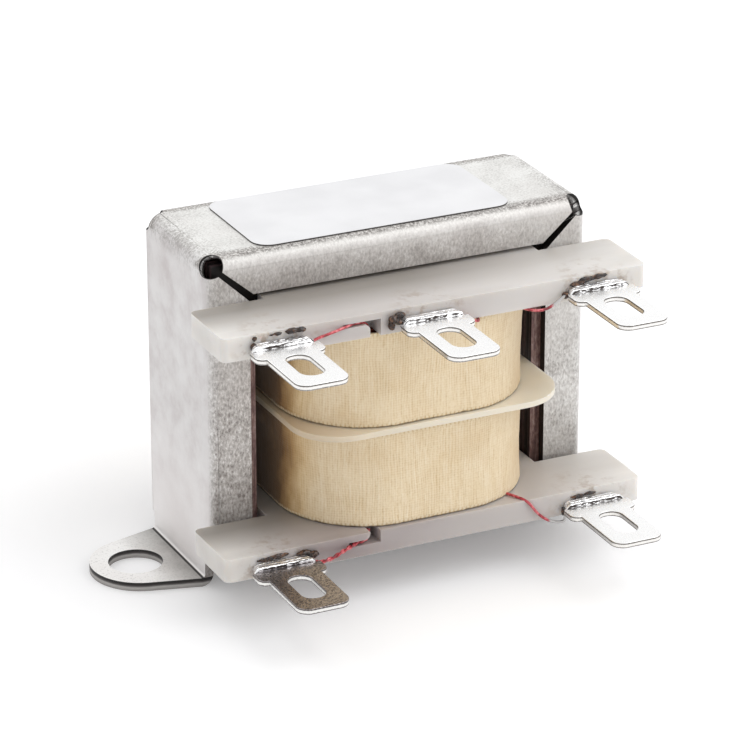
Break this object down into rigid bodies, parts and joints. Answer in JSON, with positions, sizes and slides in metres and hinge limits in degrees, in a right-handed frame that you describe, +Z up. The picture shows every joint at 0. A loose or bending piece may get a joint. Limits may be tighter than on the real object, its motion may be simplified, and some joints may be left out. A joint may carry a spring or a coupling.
{
  "type": "laminated chassis transformer",
  "caption": "Small laminated-core transformer in a folded steel channel with two mounting ears, a split bobbin, taped coils and solder lugs.",
  "frame": {"origin": "on the mounting plane, midway between the two ear holes", "axes": "+X along the two ears, +Y from the lug side to the back, +Z up, away from the chassis"},
  "size_m": [0.0524, 0.0382, 0.0306],
  "materials": {
    "zinc_sheet": "zinc-coated sheet steel, mottled",
    "silicon_steel": "varnished dark lamination edges",
    "nylon": "natural nylon, slightly translucent",
    "magnet_wire": "red enamelled copper",
    "cloth_tape": "woven acetate cloth tape",
    "tinned_brass": "hot tinned",
    "solder": "bright tin solder",
    "red_enamel": "red enamelled copper",
    "label_paper": "white film label, blank"
  },
  "bodies": {
    "root": {"channel_frame": "zinc_sheet", "e_laminations_down": "silicon_steel", "e_laminations_up": "silicon_steel", "i_laminations_top": "silicon_steel", "i_laminations_bottom": "silicon_steel", "bobbin": "nylon", "primary_winding": "magnet_wire", "secondary_winding": "magnet_wire", "primary_tape": "cloth_tape", "secondary_tape": "cloth_tape", "primary_lug_left": "tinned_brass", "primary_lug_right": "tinned_brass", "secondary_lug_left": "tinned_brass", "secondary_lug_centre": "tinned_brass", "secondary_lug_right": "tinned_brass", "primary_solder_left": "solder", "primary_solder_right": "solder", "secondary_solder_left": "solder", "secondary_solder_centre": "solder", "secondary_solder_right": "solder", "primary_lead_left": "red_enamel", "primary_lead_right": "red_enamel", "secondary_lead_left": "red_enamel", "secondary_lead_centre": "red_enamel", "secondary_lead_right": "red_enamel", "label": "label_paper"}
  },
  "joints": []
}
